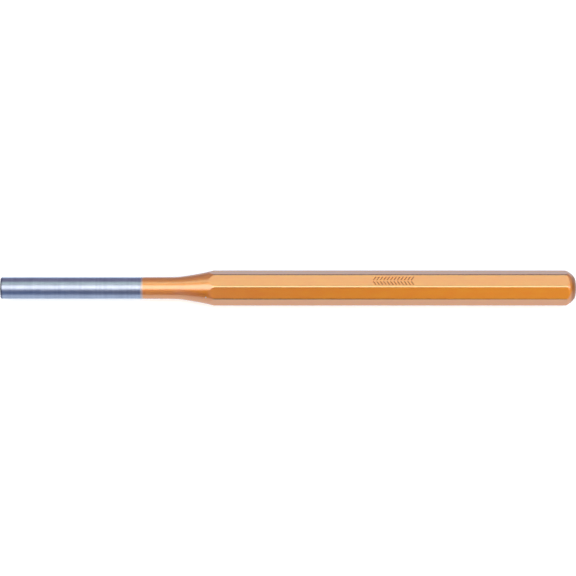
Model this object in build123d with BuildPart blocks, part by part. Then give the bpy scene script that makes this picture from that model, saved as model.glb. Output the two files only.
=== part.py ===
"""Octagonal parallel pin punch: one piece of tool steel and the lacquer film baked onto its grip.

Millimetres. The tool lies along X on one of its flats: the origin is the centre of the flat tip,
+X runs to the struck head and +Z is up. The film is drawn 0.1 mm thick.
"""

import os

from build123d import *

os.makedirs("parts", exist_ok=True)

# ---- driving dimensions ----
tool_length = 210.0
across_flats = 12.0  # over the lacquer
corner_radius = 0.9  # rounding of the octagon's long edges, over the lacquer
pin_diameter = 7.8  # bare steel
tip_chamfer = 0.3

film_thickness = 0.1
film_edge_thickness = 0.06  # the film thins out towards its front edge
film_front = 51.0  # where the lacquer begins, measured from the tip

# the turned ends are tangent arcs, each given by its radius and its slope in degrees where it ends
flare_start = 62.5  # where the pin begins to widen towards the shank
flare_arcs = [(30.0, 8.3), (125.0, 13.5)]  # hollow, sloping away from the axis
head_arcs = [(13.5, 13.5), (2.7, 37.0), (7.2, 58.0)]  # crown, its edge and the shoulder

mark_centre = 143.2  # the pressed mark on the top flat, measured from the tip
mark_count = 12
mark_pitch = 1.25
mark_row_offset = 0.95  # from the flat's centre line to the middle of a stroke
mark_stroke_length = 1.5
mark_stroke_width = 0.3  # over the lacquer
mark_lean = 55.0  # degrees from the tool's axis
mark_depth = 0.12

# ---- sizes that follow from them ----
steel_half_flats = across_flats / 2 - film_thickness
steel_corner_radius = corner_radius - film_thickness
pin_radius = pin_diameter / 2
turning_radius = 0.6 * across_flats  # outside the octagon's corners


def turned_end(start, direction, arcs, growth):
    """Draws one end's tangent arcs, then a straight run-out to the turning radius."""
    slope = 0
    for radius, end_slope in arcs:
        arc = JernArc(start, direction, radius + growth, end_slope - slope)
        start, direction, slope = arc @ 1, arc % 1, end_slope
    return PolarLine(
        start, turning_radius - start.Y, direction=direction, length_mode=LengthMode.VERTICAL
    )


def punch_form(film, front_points):
    """The tool's shape with a film of the given thickness over the steel: a bar turned at both ends."""
    with BuildPart() as form:
        with BuildSketch(Plane.YZ) as bar:
            RegularPolygon(steel_half_flats + film, 8, major_radius=False, rotation=360 / 16)
            fillet(bar.vertices(), steel_corner_radius + film)
        extrude(amount=tool_length)

        # half outline of the turned shape, from the axis at the front to the axis at the head
        struck_face = (tool_length - film_thickness + film, 0)
        with BuildSketch(Plane.XZ):
            with BuildLine():
                neck = Polyline(*front_points, (flare_start, pin_radius + film))
                flare = turned_end(neck @ 1, (1, 0), flare_arcs, -film)
                head = turned_end(struck_face, (0, 1), head_arcs, film - film_thickness)
                Line(flare @ 1, head @ 1)
                Line(struck_face, front_points[0])
            make_face()
        revolve(axis=Axis.X, mode=Mode.INTERSECT)

        # pressed mark: two mirrored rows of leaning strokes, as deep under the film as over it
        stroke_width = mark_stroke_width + 2 * (film_thickness - film)
        with BuildSketch(Plane.XY.offset(steel_half_flats + film)):
            for side in (1, -1):
                with Locations((mark_centre, side * mark_row_offset)):
                    with GridLocations(mark_pitch, mark_pitch, mark_count, 1):
                        SlotCenterToCenter(mark_stroke_length, stroke_width, rotation=side * mark_lean)
        extrude(amount=-mark_depth, mode=Mode.SUBTRACT)
    return form.part


# ---- steel_punch: pin, flare, octagonal shank and crowned head, forged and turned in one piece ----
chamfered_tip = [(0, 0), (0, pin_radius - tip_chamfer), (tip_chamfer, pin_radius)]
steel_form = punch_form(0, chamfered_tip)

with BuildPart() as steel_punch:
    add(steel_form)

# ---- lacquer_coat: the film over everything behind the bare part of the pin ----
film_lip = [(film_front, 0), (film_front, pin_radius + film_edge_thickness)]
film_form = punch_form(film_thickness, film_lip)

with BuildPart() as lacquer_coat:
    add(film_form)
    add(steel_form, mode=Mode.SUBTRACT)

steel_punch.part.label = "steel_punch"
lacquer_coat.part.label = "lacquer_coat"
export_step(steel_punch.part, "parts/steel_punch.step")
export_step(lacquer_coat.part, "parts/lacquer_coat.step")
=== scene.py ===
"""Looks of the lacquered pin punch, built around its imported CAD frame.

Metres throughout. The tool lies along X on a flat, its tip face at the origin and its head at +X.
Both visible pieces are lofted from lines that run along the tool, one for each angle round it, and
every line crosses from the turned ends onto the octagon at the same point of its list, so that the
mesh's edges follow the curved ends of the flats.
"""

import math

import bmesh
import bpy
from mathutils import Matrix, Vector


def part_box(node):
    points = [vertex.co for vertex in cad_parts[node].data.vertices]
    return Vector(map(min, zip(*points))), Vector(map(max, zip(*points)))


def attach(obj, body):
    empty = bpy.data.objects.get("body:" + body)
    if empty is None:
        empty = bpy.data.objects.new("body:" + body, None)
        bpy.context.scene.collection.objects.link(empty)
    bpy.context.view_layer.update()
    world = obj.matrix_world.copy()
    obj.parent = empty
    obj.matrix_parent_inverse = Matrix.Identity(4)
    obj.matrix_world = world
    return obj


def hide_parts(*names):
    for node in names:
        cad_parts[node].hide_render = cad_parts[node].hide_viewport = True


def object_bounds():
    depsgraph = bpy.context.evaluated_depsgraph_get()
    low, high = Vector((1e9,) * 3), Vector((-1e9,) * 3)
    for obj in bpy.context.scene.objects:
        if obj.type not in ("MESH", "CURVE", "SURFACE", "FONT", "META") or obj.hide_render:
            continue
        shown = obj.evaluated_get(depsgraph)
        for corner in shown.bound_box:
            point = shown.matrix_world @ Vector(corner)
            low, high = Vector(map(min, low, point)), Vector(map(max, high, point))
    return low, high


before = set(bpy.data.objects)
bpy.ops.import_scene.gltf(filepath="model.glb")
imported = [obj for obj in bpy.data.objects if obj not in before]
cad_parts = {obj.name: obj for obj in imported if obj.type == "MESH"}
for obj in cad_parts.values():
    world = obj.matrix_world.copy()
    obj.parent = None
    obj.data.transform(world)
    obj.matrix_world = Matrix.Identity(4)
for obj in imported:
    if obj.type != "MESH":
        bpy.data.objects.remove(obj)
cad_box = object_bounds()

MM = 0.001

# ---- sizes: the frame gives the overall ones, the rest are the design's own ----
tool_low, tool_high = cad_box
tool_length = tool_high.x - tool_low.x
half_flats = tool_high.z
film_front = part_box("lacquer_coat")[0].x
film = tool_high.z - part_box("steel_punch")[1].z
film_lip = 0.06 * MM  # the film's thickness at its front edge
lining_gap = 0.01 * MM  # from the steel to the film's inner side
pin_radius = 3.9 * MM
tip_chamfer = 0.3 * MM
corner_radius = 0.9 * MM - film  # of the octagon's long edges, on the steel

# the film's front edge wavers a little round the pin, behind the CAD's straight one
front_setback = 0.1 * MM
front_waves = [(0.06 * MM, 2, 0.5), (0.04 * MM, 5, 1.3)]  # each a height, a count round the pin, a phase

# the turned ends are tangent arcs, each a radius in metres and its slope in degrees where it ends
flare_start = 62.5 * MM
neck_end = flare_start - 0.5 * MM  # the last ring of the straight pin
flare_arcs = [(30 * MM, 8.3), (125 * MM, 13.5)]
head_arcs = [(13.5 * MM, 13.5), (2.7 * MM, 37), (7.2 * MM, 58)]

# how far the ends of the flats are rounded off, at the flare and at the head
film_edges = {"flare_edge": 0.3 * MM, "head_edge": 0.35 * MM}
steel_edges = {"flare_edge": 0.25 * MM, "head_edge": 0.3 * MM}

mark_centre = 143.2 * MM
mark_count = 12
mark_pitch = 1.25 * MM
mark_row_offset = 0.95 * MM
mark_half_stroke = 0.75 * MM
mark_lean = math.radians(55)
mark_depth = 0.12 * MM
mark_half_width = 0.2 * MM
mark_half_length = 8.4 * MM
mark_region = (mark_centre - mark_half_length, mark_centre + mark_half_length)

# ---- how finely the meshes are divided ----
flat_columns = 6
top_flat_columns = 48  # enough for the pressed mark's narrow strokes
corner_steps = 10
pin_stations = 24
neck_stations = 8
flare_stations = 20
flare_crowding = 1.6  # over 1 brings the flare's stations closer together towards the pin
front_stations = 12  # from the flare to the mark
mark_stations = 150
rear_stations = 14  # from the mark to the head
head_stations = 20


# ---- the turned ends, as a radius and a place along the tool ----
def follow_arcs(arcs, grow, run=None, rise=None):
    """How far tangent arcs, level where they start, have risen after a run, or run after a rise."""
    slope = run_here = rise_here = 0.0
    for radius, end_slope in arcs:
        radius, end_slope = radius + grow, math.radians(end_slope)
        run_end = run_here + radius * (math.sin(end_slope) - math.sin(slope))
        rise_end = rise_here + radius * (math.cos(slope) - math.cos(end_slope))
        if rise is None and run <= run_end:
            bend = math.asin(math.sin(slope) + (run - run_here) / radius)
            return rise_here + radius * (math.cos(slope) - math.cos(bend))
        if run is None and rise <= rise_end:
            bend = math.acos(math.cos(slope) - (rise - rise_here) / radius)
            return run_here + radius * (math.sin(bend) - math.sin(slope))
        slope, run_here, rise_here = end_slope, run_end, rise_end
    if rise is None:
        return rise_here + (run - run_here) * math.tan(slope)
    return run_here + (rise - rise_here) / math.tan(slope)


def flare_x(radius, grow):
    """Where the flare reaches a radius; grow is the film's thickness over the steel."""
    return flare_start + follow_arcs(flare_arcs, -grow, rise=max(0.0, radius - pin_radius - grow))


def head_x(radius, grow):
    """Where the domed head reaches a radius."""
    return tool_length - film + grow - follow_arcs(head_arcs, grow - film, run=radius)


def spread(start, end, count):
    """Evenly spaced values from start towards end, without end."""
    return [start + (end - start) * step / count for step in range(count)]


# ---- the octagon, as a list of (angle, radius) round the tool ----
def octagon_lines(grow):
    """Angles round the tool, close together over each rounded corner, with the octagon's radius there."""
    flats, rounding = half_flats - film + grow, corner_radius + grow
    half_side = (flats - rounding) * math.tan(math.pi / 8)
    lines = []
    for side in range(8):
        turn = side * math.pi / 4
        columns = top_flat_columns if side == 0 else flat_columns
        # the close columns at both sides keep the flat's shading flat up to its rounded corners
        shares = [-1, -0.97, *spread(-0.94, 0.94, columns), 0.94, 0.97]
        points = [(flats, share * half_side) for share in shares]
        for step in range(corner_steps):
            bend = step / corner_steps * math.pi / 4
            points.append((
                flats - rounding + rounding * math.cos(bend),
                half_side + rounding * math.sin(bend),
            ))
        for out, along in points:
            lines.append((turn + math.atan2(along, out), math.hypot(out, along)))
    return lines


def rounded_corner(before, corner, after, steps):
    """Points on a curve that leaves one side of a corner and joins the other."""
    points = []
    for step in range(steps + 1):
        t = step / steps
        points.append(before * (1 - t) ** 2 + corner * 2 * t * (1 - t) + after * t * t)
    return points


def side_line(radius, grow, flare_edge, head_edge):
    """Points (x, r) from the flare's start to near the head's middle, over one angle of the octagon."""
    on_flare, on_head = flare_x(radius, grow), head_x(radius, grow)
    flare_r = radius - flare_edge * math.sin(math.radians(flare_arcs[-1][1]))
    head_r = radius - head_edge * math.sin(math.radians(head_arcs[-1][1]))
    points = []
    for share in spread(0, 1, flare_stations):
        r = pin_radius + grow + (flare_r - pin_radius - grow) * share ** flare_crowding
        points.append(Vector((flare_x(r, grow), r)))
    points += rounded_corner(
        Vector((flare_x(flare_r, grow), flare_r)),
        Vector((on_flare, radius)),
        Vector((on_flare + flare_edge, radius)),
        steps=6,
    )
    # a second point just past each rounded end keeps the flats flat
    shank = [on_flare + 2 * flare_edge]
    shank += spread(on_flare + 4 * flare_edge, mark_region[0], front_stations)
    shank += spread(*mark_region, mark_stations)
    shank += spread(mark_region[1], on_head - 2 * head_edge, rear_stations)
    shank += [on_head - 2 * head_edge, on_head - 1.3 * head_edge]
    points += [Vector((x, radius)) for x in shank]
    points += rounded_corner(
        Vector((on_head - head_edge, radius)),
        Vector((on_head, radius)),
        Vector((head_x(head_r, grow), head_r)),
        steps=8,
    )
    for share in spread(1, 0, head_stations)[1:]:
        r = head_r * math.sin(share * math.pi / 2)
        points.append(Vector((head_x(r, grow), r)))
    return points


# ---- the pressed mark ----
def mark_cut(x, y):
    """How far the pressed strokes sink at a point of the top flat, from 0 to 1."""
    if not mark_region[0] < x < mark_region[1]:
        return 0.0
    side = 1 if y > 0 else -1
    index = round((x - mark_centre) / mark_pitch + (mark_count - 1) / 2)
    deepest = 0.0
    for number in range(max(0, index - 1), min(mark_count, index + 2)):
        middle = mark_centre + (number - (mark_count - 1) / 2) * mark_pitch
        dx, dy = x - middle, abs(y) - mark_row_offset
        along = dx * math.cos(mark_lean) + dy * math.sin(mark_lean)
        along = max(-mark_half_stroke, min(mark_half_stroke, along))
        gap = math.hypot(dx - along * math.cos(mark_lean), dy - along * math.sin(mark_lean))
        deepest = max(deepest, 1 - (gap / mark_half_width) ** 2)
    return max(0.0, deepest)


# ---- meshes ----
def loft(bm, rings, closed_start, closed_end):
    """Quads between rings of points, all of one length, with a fan at a closed end's middle point."""
    made = [[bm.verts.new(point) for point in ring] for ring in rings]
    count = len(rings[0])
    for near, far in zip(made, made[1:]):
        for i in range(count):
            j = (i + 1) % count
            bm.faces.new((near[i], far[i], far[j], near[j]))
    for ring, point, flip in ((made[0], closed_start, False), (made[-1], closed_end, True)):
        if point is None:
            continue
        middle = bm.verts.new(point)
        for i in range(count):
            pair = (ring[i], ring[(i + 1) % count])
            bm.faces.new((middle, *(reversed(pair) if flip else pair)))
    return made


def around(x, radius, angles):
    """A ring of points at one place along the tool."""
    return [Vector((x, radius * math.sin(angle), radius * math.cos(angle))) for angle in angles]


def finish_mesh(name, bm, material, node):
    """Makes an object of the mesh, which rides the tool's one body in place of its CAD node."""
    bmesh.ops.recalc_face_normals(bm, faces=bm.faces)
    mesh = bpy.data.meshes.new(name)
    bm.to_mesh(mesh)
    bm.free()
    mesh.shade_smooth()
    piece = bpy.data.objects.new(name, mesh)
    bpy.context.scene.collection.objects.link(piece)
    piece.data.materials.append(material)
    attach(piece, "root")
    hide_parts(node)


def shank_rings(grow, flare_edge, head_edge):
    """Rings from the flare's start over the shank and the head, with the mark pressed into the top flat."""
    lines = octagon_lines(grow)
    top_flat = half_flats - film + grow
    rounding_error = 0.001 * MM
    sides = [side_line(radius, grow, flare_edge, head_edge) for _, radius in lines]
    rings = []
    for station in range(len(sides[0])):
        ring = []
        for (angle, _), side in zip(lines, sides):
            x, r = side[station]
            point = Vector((x, r * math.sin(angle), r * math.cos(angle)))
            if point.z > top_flat - rounding_error:
                point.z -= mark_depth * mark_cut(point.x, point.y)
            ring.append(point)
        rings.append(ring)
    return rings, [angle for angle, _ in lines]


def film_front_at(angle):
    """Where the film begins, at an angle round the pin."""
    waves = [height * math.sin(count * angle + phase) for height, count, phase in front_waves]
    return film_front + front_setback + sum(waves)


def lacquer_mesh():
    """A closed skin: the film's outer side, its rounded front lip and its inner side on the steel."""
    outer, angles = shank_rings(film, **film_edges)
    inner, _ = shank_rings(lining_gap, **steel_edges)
    inner_radius, lip_radius = pin_radius + lining_gap, pin_radius + film_lip

    # the lip's rounding, each point a distance behind the film's front and a radius
    lip_profile = [
        (0, inner_radius),
        (0.01 * MM, pin_radius + 0.7 * film_lip),
        (0.06 * MM, lip_radius),
        (0.2 * MM, lip_radius + 0.002 * MM),
    ]
    rings = [
        [
            Vector((film_front_at(angle) + back, radius * math.sin(angle), radius * math.cos(angle)))
            for angle in angles
        ]
        for back, radius in lip_profile
    ]
    neck = [*spread(film_front + 1 * MM, neck_end, neck_stations), neck_end]
    for x in neck:
        share = (x - film_front) / (flare_start - film_front)
        rings.append(around(x, lip_radius + (pin_radius + film - lip_radius) * share, angles))

    bm = bmesh.new()
    skin = loft(bm, rings + outer, None, (tool_length, 0, 0))
    neck_lining = [around(x, inner_radius, angles) for x in (neck[0], neck_end)]
    lining = loft(bm, neck_lining + inner, None, (tool_length - film + lining_gap, 0, 0))
    for i in range(len(angles)):
        j = (i + 1) % len(angles)
        bm.faces.new((skin[0][i], skin[0][j], lining[0][j], lining[0][i]))
    return bm


def steel_mesh():
    """The whole steel body, with its chamfered tip; the film hides all of it but the pin."""
    covered, angles = shank_rings(0, **steel_edges)
    chamfer_in = pin_radius - tip_chamfer
    soft = 0.05 * MM  # how far the chamfer's two edges are rounded
    tip = [Vector((0, r)) for r in (1 * MM, 2.4 * MM, chamfer_in - 3 * soft)]
    tip += rounded_corner(
        Vector((0, chamfer_in - soft)),
        Vector((0, chamfer_in)),
        Vector((soft, chamfer_in + soft)),
        steps=4,
    )
    tip += rounded_corner(
        Vector((tip_chamfer - soft, pin_radius - soft)),
        Vector((tip_chamfer, pin_radius)),
        Vector((tip_chamfer + soft, pin_radius)),
        steps=4,
    )
    tip += [Vector((x, pin_radius)) for x in spread(tip_chamfer + 3 * soft, neck_end, pin_stations)]
    bm = bmesh.new()
    loft(bm, [around(x, r, angles) for x, r in tip] + covered, (0, 0, 0), (tool_length - film, 0, 0))
    return bm


# ---- materials ----
def new_material(name):
    """A material with its node tree and its shader."""
    material = bpy.data.materials.new(name)
    material.use_nodes = True
    tree = material.node_tree
    return material, tree, tree.nodes["Principled BSDF"]


def connect(tree, node, inputs):
    """Links the inputs that are given a socket and sets the others, each by its name or number."""
    for key, value in inputs.items():
        if isinstance(value, bpy.types.NodeSocket):
            tree.links.new(value, node.inputs[key])
        else:
            node.inputs[key].default_value = value


def add_node(tree, kind, inputs, **settings):
    """Adds a shader node with its fields set and its inputs connected."""
    node = tree.nodes.new("ShaderNode" + kind)
    for field, value in settings.items():
        setattr(node, field, value)
    connect(tree, node, inputs)
    return node


def math_node(tree, operation, *values):
    """One step of arithmetic on numbers and sockets."""
    return add_node(tree, "Math", dict(enumerate(values)), operation=operation).outputs[0]


def noise_of(tree, place, scale, detail, roughness):
    """Noise from 0 to 1 whose features are about 1 / scale metres wide."""
    inputs = {"Vector": place, "Scale": scale, "Detail": detail, "Roughness": roughness}
    return add_node(tree, "TexNoise", inputs).outputs["Fac"]


def stretched(tree, place, factors):
    """The place with each axis scaled; a factor under 1 draws the pattern out along its axis."""
    return add_node(tree, "VectorMath", {0: place, 1: factors}, operation="MULTIPLY").outputs[0]


def ranged(tree, value, span, result=(0, 1)):
    """A value carried smoothly from one range to another, and held at its ends."""
    inputs = {"Value": value, 1: span[0], 2: span[1], 3: result[0], 4: result[1]}
    return add_node(tree, "MapRange", inputs, interpolation_type="SMOOTHSTEP").outputs[0]


def mixed(tree, factor, first, second):
    """A colour between two others, which a Mix node has at inputs 6 and 7, and its result at output 2."""
    return add_node(tree, "Mix", {0: factor, 6: first, 7: second}, data_type="RGBA").outputs[2]


def across_axis(tree, place):
    """The distance from the tool's axis."""
    flat = stretched(tree, place, (0, 1, 1))
    return add_node(tree, "VectorMath", {0: flat}, operation="LENGTH").outputs["Value"]


def grain_bump(tree, heights, strength):
    """Surface normals for grain a few micrometres deep."""
    inputs = {"Height": heights, "Strength": strength, "Distance": 0.004 * MM}
    return add_node(tree, "Bump", inputs).outputs[0]


steel_dark, steel_light = (0.41, 0.45, 0.56, 1), (0.53, 0.58, 0.68, 1)
# painted shade along the tip's chamfered rim
steel_painted_shade = (0.1, 0.11, 0.15, 1)
steel_roughness = (0.27, 0.37)
rim_span = (pin_radius - 0.5 * MM, pin_radius - 0.3 * MM)  # from the axis, where the painted shade on the tip's rim begins
rim_fade = (0.4 * MM, 0.9 * MM)  # from the tip, where it ends along the pin

lacquer_dark, lacquer_light = (0.99, 0.322, 0.003, 1), (0.99, 0.421, 0.007, 1)
lacquer_thin_and_highlit = (0.84, 0.36, 0.04, 1)  # over the octagon's edges: thinner lacquer, its paler tone partly a painted highlight
# painted shade on the head's crown
painted_crown_shade = (0.5, 0.2, 0.07, 1)
painted_mark_shade = (0.22, 0.07, 0.01, 1)  # painted shade in the pressed mark's strokes
# a painted glint: one small bright speck on the flare
painted_glint = (1.0, 0.82, 0.55, 1)
lacquer_roughness = (0.57, 0.67)
edge_smoothing = 0.35  # taken off the roughness over the octagon's edges
edge_span = (6.28 * MM, 6.4 * MM)  # from the axis, where the octagon's edges are
crown_span = (tool_length - 2.6 * MM, tool_length - 1.4 * MM)
front_fade = 1 * MM  # over which the steel's colour shows through at the lacquer's front
front_wander = 0.5 * MM  # how far back the mottling can carry the start of that
glint_place = (74.9 * MM, -5.1 * MM, 2.6 * MM)
glint_radii = (0.2 * MM, 0.4 * MM)  # the painted glint is whole within the first, gone outside the second


def steel_material():
    """Ground tool steel: turning lines round the pin and over its end, soft mottling and painted shade on
    the tip's rim.
    """
    material, tree, shader = new_material("ground_tool_steel")
    place = add_node(tree, "TexCoord", {}).outputs["Object"]
    along = add_node(tree, "SeparateXYZ", {0: place}).outputs["X"]
    outwards = across_axis(tree, place)
    turning = math_node(tree, "ADD", along, outwards)
    line_place = add_node(tree, "CombineXYZ", {"X": turning}).outputs[0]
    drift = stretched(tree, place, (0, 0.02, 0.02))
    soft_place = add_node(tree, "VectorMath", {0: line_place, 1: drift}, operation="ADD").outputs[0]
    fine_lines = noise_of(tree, soft_place, scale=9000, detail=3, roughness=0.7)
    wide_lines = noise_of(tree, soft_place, scale=700, detail=2, roughness=0.6)
    mottle = noise_of(tree, stretched(tree, place, (0.6, 1, 1)), scale=420, detail=4, roughness=0.6)

    shade = math_node(tree, "MULTIPLY_ADD", wide_lines, 0.4, math_node(tree, "MULTIPLY", mottle, 0.6))
    colour = mixed(tree, ranged(tree, shade, (0.3, 0.7)), steel_dark, steel_light)
    # painted shade: the tip's chamfered rim is darkened
    at_tip = ranged(tree, along, rim_fade, (0.7, 0))
    at_rim = ranged(tree, outwards, rim_span)
    colour = mixed(tree, math_node(tree, "MULTIPLY", at_tip, at_rim), colour, steel_painted_shade)

    line_rough = ranged(tree, fine_lines, (0.3, 0.7), steel_roughness)
    rough = math_node(tree, "MULTIPLY_ADD", mottle, 0.06, line_rough)
    connect(tree, shader, {
        "Base Color": colour,
        "Metallic": 1.0,
        "Roughness": rough,
        "Normal": grain_bump(tree, fine_lines, 0.25),
    })
    return material


def pressed_in(tree, place):
    """From 0 on the top flat to 1 at the bottom of the pressed mark's strokes."""
    spot = add_node(tree, "SeparateXYZ", {0: place}).outputs
    from_centre = math_node(tree, "ABSOLUTE", math_node(tree, "SUBTRACT", spot["X"], mark_centre))
    from_middle = math_node(tree, "ABSOLUTE", spot["Y"])
    near = ranged(tree, from_centre, (mark_half_length - 0.2 * MM, mark_half_length + 0.1 * MM), (1, 0))
    on_flat = ranged(tree, from_middle, (2 * MM, 2.1 * MM), (1, 0))
    on_top = ranged(tree, spot["Z"], (half_flats - 1 * MM, half_flats - 0.5 * MM))
    sunk = ranged(tree, spot["Z"], (half_flats - 0.7 * mark_depth, half_flats - 0.1 * mark_depth), (1, 0))
    in_region = math_node(tree, "MULTIPLY", near, on_flat)
    return math_node(tree, "MULTIPLY", in_region, math_node(tree, "MULTIPLY", on_top, sunk))


def lacquer_material():
    """Copper-gold metallic lacquer: flakes under a clear top, orange peel, and the bar's drawing lines.

    It is thinner and smoother over the octagon's edges, paler there partly as a painted highlight, fades
    out at its front, has painted shade on the crown and in the pressed mark, and one small painted glint
    on the flare.
    """
    material, tree, shader = new_material("flaked_lacquer")
    place = add_node(tree, "TexCoord", {}).outputs["Object"]
    along = add_node(tree, "SeparateXYZ", {0: place}).outputs["X"]
    cells = add_node(tree, "TexVoronoi", {"Vector": place, "Scale": 9000}, feature="F1").outputs["Color"]
    flake = add_node(tree, "SeparateColor", {0: cells}).outputs[0]
    mottle = noise_of(tree, stretched(tree, place, (0.35, 1, 1)), scale=500, detail=3, roughness=0.55)
    streaks = noise_of(tree, stretched(tree, place, (0.01, 1, 1)), scale=2600, detail=2, roughness=0.6)
    peel = noise_of(tree, place, scale=1100, detail=2, roughness=0.5)

    shade = math_node(tree, "MULTIPLY_ADD", mottle, 0.5, math_node(tree, "MULTIPLY", streaks, 0.3))
    shade = math_node(tree, "MULTIPLY_ADD", flake, 0.2, shade)
    colour = mixed(tree, ranged(tree, shade, (0.25, 0.75)), lacquer_dark, lacquer_light)

    # thinner lacquer over the octagon's edges, paler there partly as a painted highlight
    over_edge = ranged(tree, across_axis(tree, place), edge_span)
    thinned_and_highlit = math_node(tree, "MULTIPLY", over_edge, ranged(tree, mottle, (0.3, 0.7), (0.5, 0.9)))
    colour = mixed(tree, thinned_and_highlit, colour, lacquer_thin_and_highlit)
    # painted shade in the pressed mark's strokes, which also have less coat
    pressed = pressed_in(tree, place)
    colour = mixed(tree, math_node(tree, "MULTIPLY", pressed, 0.75), colour, painted_mark_shade)
    # painted shade on the crown, which also has less coat
    on_crown = ranged(tree, along, crown_span, (0, 0.8))
    colour = mixed(tree, on_crown, colour, painted_crown_shade)

    front = math_node(tree, "MULTIPLY_ADD", mottle, front_wander, film_front)
    faded = ranged(tree, math_node(tree, "SUBTRACT", along, front), (0, front_fade), (0.8, 0))
    colour = mixed(tree, faded, colour, steel_light)
    # painted glint on the flare
    to_glint = add_node(tree, "VectorMath", {0: place, 1: glint_place}, operation="DISTANCE").outputs["Value"]
    colour = mixed(tree, ranged(tree, to_glint, glint_radii, (1, 0)), colour, painted_glint)

    rough = ranged(tree, math_node(tree, "ADD", flake, mottle), (0.4, 1.6), lacquer_roughness)
    rough = math_node(tree, "MULTIPLY_ADD", over_edge, -edge_smoothing, rough)
    heights = math_node(tree, "MULTIPLY_ADD", flake, 0.15, math_node(tree, "ADD", peel, streaks))
    dull = math_node(tree, "MAXIMUM", pressed, on_crown)
    connect(tree, shader, {
        "Base Color": colour,
        "Metallic": 1.0,
        "Roughness": rough,
        "Normal": grain_bump(tree, heights, 0.2),
        "Coat Weight": ranged(tree, dull, (0, 1), (1, 0.3)),
        "Coat Roughness": 0.24,
        "Coat IOR": 2.63,
    })
    return material


finish_mesh("steel_body", steel_mesh(), steel_material(), "steel_punch")
finish_mesh("lacquer_skin", lacquer_mesh(), lacquer_material(), "lacquer_coat")


# ---- floor, lights and camera ----
tool_middle = Vector((tool_length / 2, 0, 0))


def facing_middle(name, data, place):
    """Puts a light or the camera at a place, turned to look at the tool's middle."""
    item = bpy.data.objects.new(name, data)
    bpy.context.scene.collection.objects.link(item)
    item.location = place
    item.rotation_euler = (tool_middle - place).to_track_quat("-Z", "Y").to_euler()
    return item


def from_front(elevation, distance, x=0.0):
    """A point at an elevation over the tool's front side; past 90 degrees it is behind the tool."""
    angle = math.radians(elevation)
    return tool_middle + Vector((x, -distance * math.cos(angle), distance * math.sin(angle)))


def plain_sheet(name, corners, colour, glow, unseen_by):
    """A flat sheet of the studio that has one colour, glows with another and is hidden from some rays."""
    material, tree, shader = new_material(name)
    connect(tree, shader, {
        "Base Color": (*colour, 1),
        "Roughness": 0.9,
        "Specular IOR Level": 0.0,
        "Emission Color": (*glow, 1),
        "Emission Strength": 1.0,
    })
    mesh = bpy.data.meshes.new(name)
    mesh.from_pydata([tuple(corner) for corner in corners], [], [tuple(range(len(corners)))])
    sheet = bpy.data.objects.new(name, mesh)
    bpy.context.scene.collection.objects.link(sheet)
    mesh.materials.append(material)
    for rays in unseen_by:
        setattr(sheet, "visible_" + rays, False)


black, white = (0, 0, 0), (1, 1, 1)
floor_colour, floor_glow = (0.8, 0.8, 0.8), (0.4, 0.4, 0.4)
floor_reach = 6.0
floor_corners = [
    Vector((x * floor_reach, y * floor_reach, tool_low.z)) for x, y in ((-1, -1), (1, -1), (1, 1), (-1, 1))
]
plain_sheet("floor", floor_corners, floor_colour, floor_glow, ["glossy"])

# white walls that only the camera sees, behind the tool in low views
wall_height = Vector((0, 0, 6))
for number in range(4):
    left, right = floor_corners[number - 1], floor_corners[number]
    corners = [left, right, right + wall_height, left + wall_height]
    plain_sheet(f"wall_{number}", corners, black, white, ["glossy", "diffuse", "shadow"])

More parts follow.
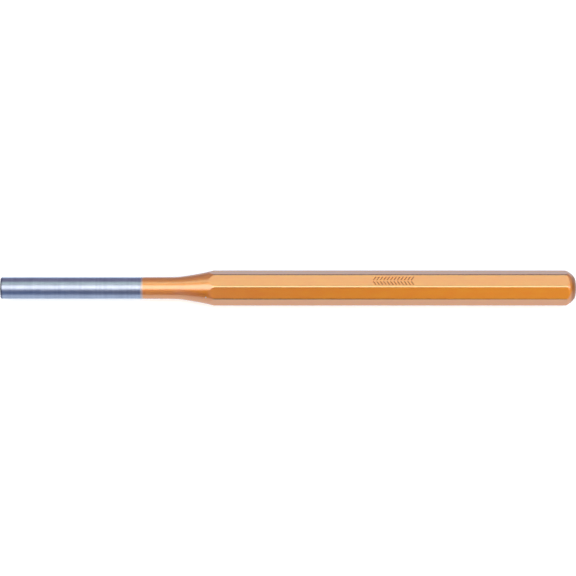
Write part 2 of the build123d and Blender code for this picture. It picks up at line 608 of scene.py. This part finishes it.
# what the tool reflects: a tunnel of plain sheets along X, seen in reflections alone, the softbox in its
# gap. Each has the elevations it spans, where it starts and ends along X from the tool's middle, and its
# glow. Elevations run from the floor in front, -90 degrees, over the top at 90 to the floor behind, 270.
tunnel_radius = 1.5
end_radius = 1.5 * tunnel_radius  # so that the sheets across its ends leave no gap
left_reach, right_reach = -2.4, 5.0
blue_part = (-0.5, -0.1)  # the part of the front that the bare pin reflects
amber_part = (0.06, right_reach)  # and the part that the rear of the shank reflects
rear_end = 2.4  # past this the rear half is dark, for the rim of the head
reflected_only = ["camera", "diffuse", "shadow"]
tunnel = [
    ("pale_floor", -90, -14, left_reach, right_reach, (0.68, 0.77, 0.91)),
    ("left_front", -14, 50, left_reach, blue_part[0], (0.12, 0.0, 0.0)),
    ("blue_front", -14, 50, *blue_part, (0.03, 0.18, 0.49)),
    ("dark_front", -14, 50, blue_part[1], amber_part[0], (0.0, 0.0, 0.0)),
    ("amber_front", -14, 50, *amber_part, (0.59, 0.36, 0.12)),
    ("pale_top", 109, 127, left_reach, rear_end, (1.02, 1.28, 1.11)),
    ("dark_back", 127, 200, left_reach, rear_end, (0.28, 0.24, 0.36)),
    ("cool_floor_behind", 200, 270, left_reach, rear_end, (0.64, 0.95, 1.24)),
    ("dark_rear_end", 98, 270, rear_end, right_reach, (0.02, 0.02, 0.03)),
]
for name, start, end, left, right, glow in tunnel:
    corners = [
        from_front(elevation, tunnel_radius, x)
        for elevation, x in ((start, left), (start, right), (end, right), (end, left))
    ]
    plain_sheet(name, corners, black, glow, reflected_only)
for name, x, glow in (
    ("dark_left_end", left_reach, (0.03, 0.03, 0.05)),
    ("dark_right_end", right_reach, (0.15, 0.1, 0.08)),
):
    corners = [from_front(elevation, end_radius, x) for elevation in (-45, 45, 135, 225)]
    plain_sheet(name, corners, black, glow, reflected_only)

softbox_elevation, softbox_distance = 63.4, 1.48
softbox_shift = 1.78  # it goes on past the head, which reflects its far end
softbox_data = bpy.data.lights.new("softbox", "AREA")
softbox_data.shape = "RECTANGLE"
softbox_data.size = 8.32
softbox_data.size_y = 1.54
softbox_data.energy = 68
softbox = facing_middle("softbox", softbox_data, from_front(softbox_elevation, softbox_distance))
softbox.location.x += softbox_shift

world = bpy.data.worlds.new("studio")
bpy.context.scene.world = world
world.use_nodes = True
background = world.node_tree.nodes["Background"]
background.inputs["Color"].default_value = (*white, 1)
background.inputs["Strength"].default_value = 0.45

camera_elevation, camera_distance = 63.2, 1.1
camera_shift = 0.18 * MM  # towards the tip
frame_width = 1.0018 * tool_length  # the tool nearly fills the frame
camera_data = bpy.data.cameras.new("camera")
camera_data.sensor_width = 36
camera_data.lens = camera_data.sensor_width * camera_distance / frame_width
camera_data.clip_start = 0.01
camera = facing_middle("camera", camera_data, from_front(camera_elevation, camera_distance))
camera.location.x -= camera_shift
bpy.context.scene.camera = camera
bpy.context.scene.view_settings.view_transform = "Standard"
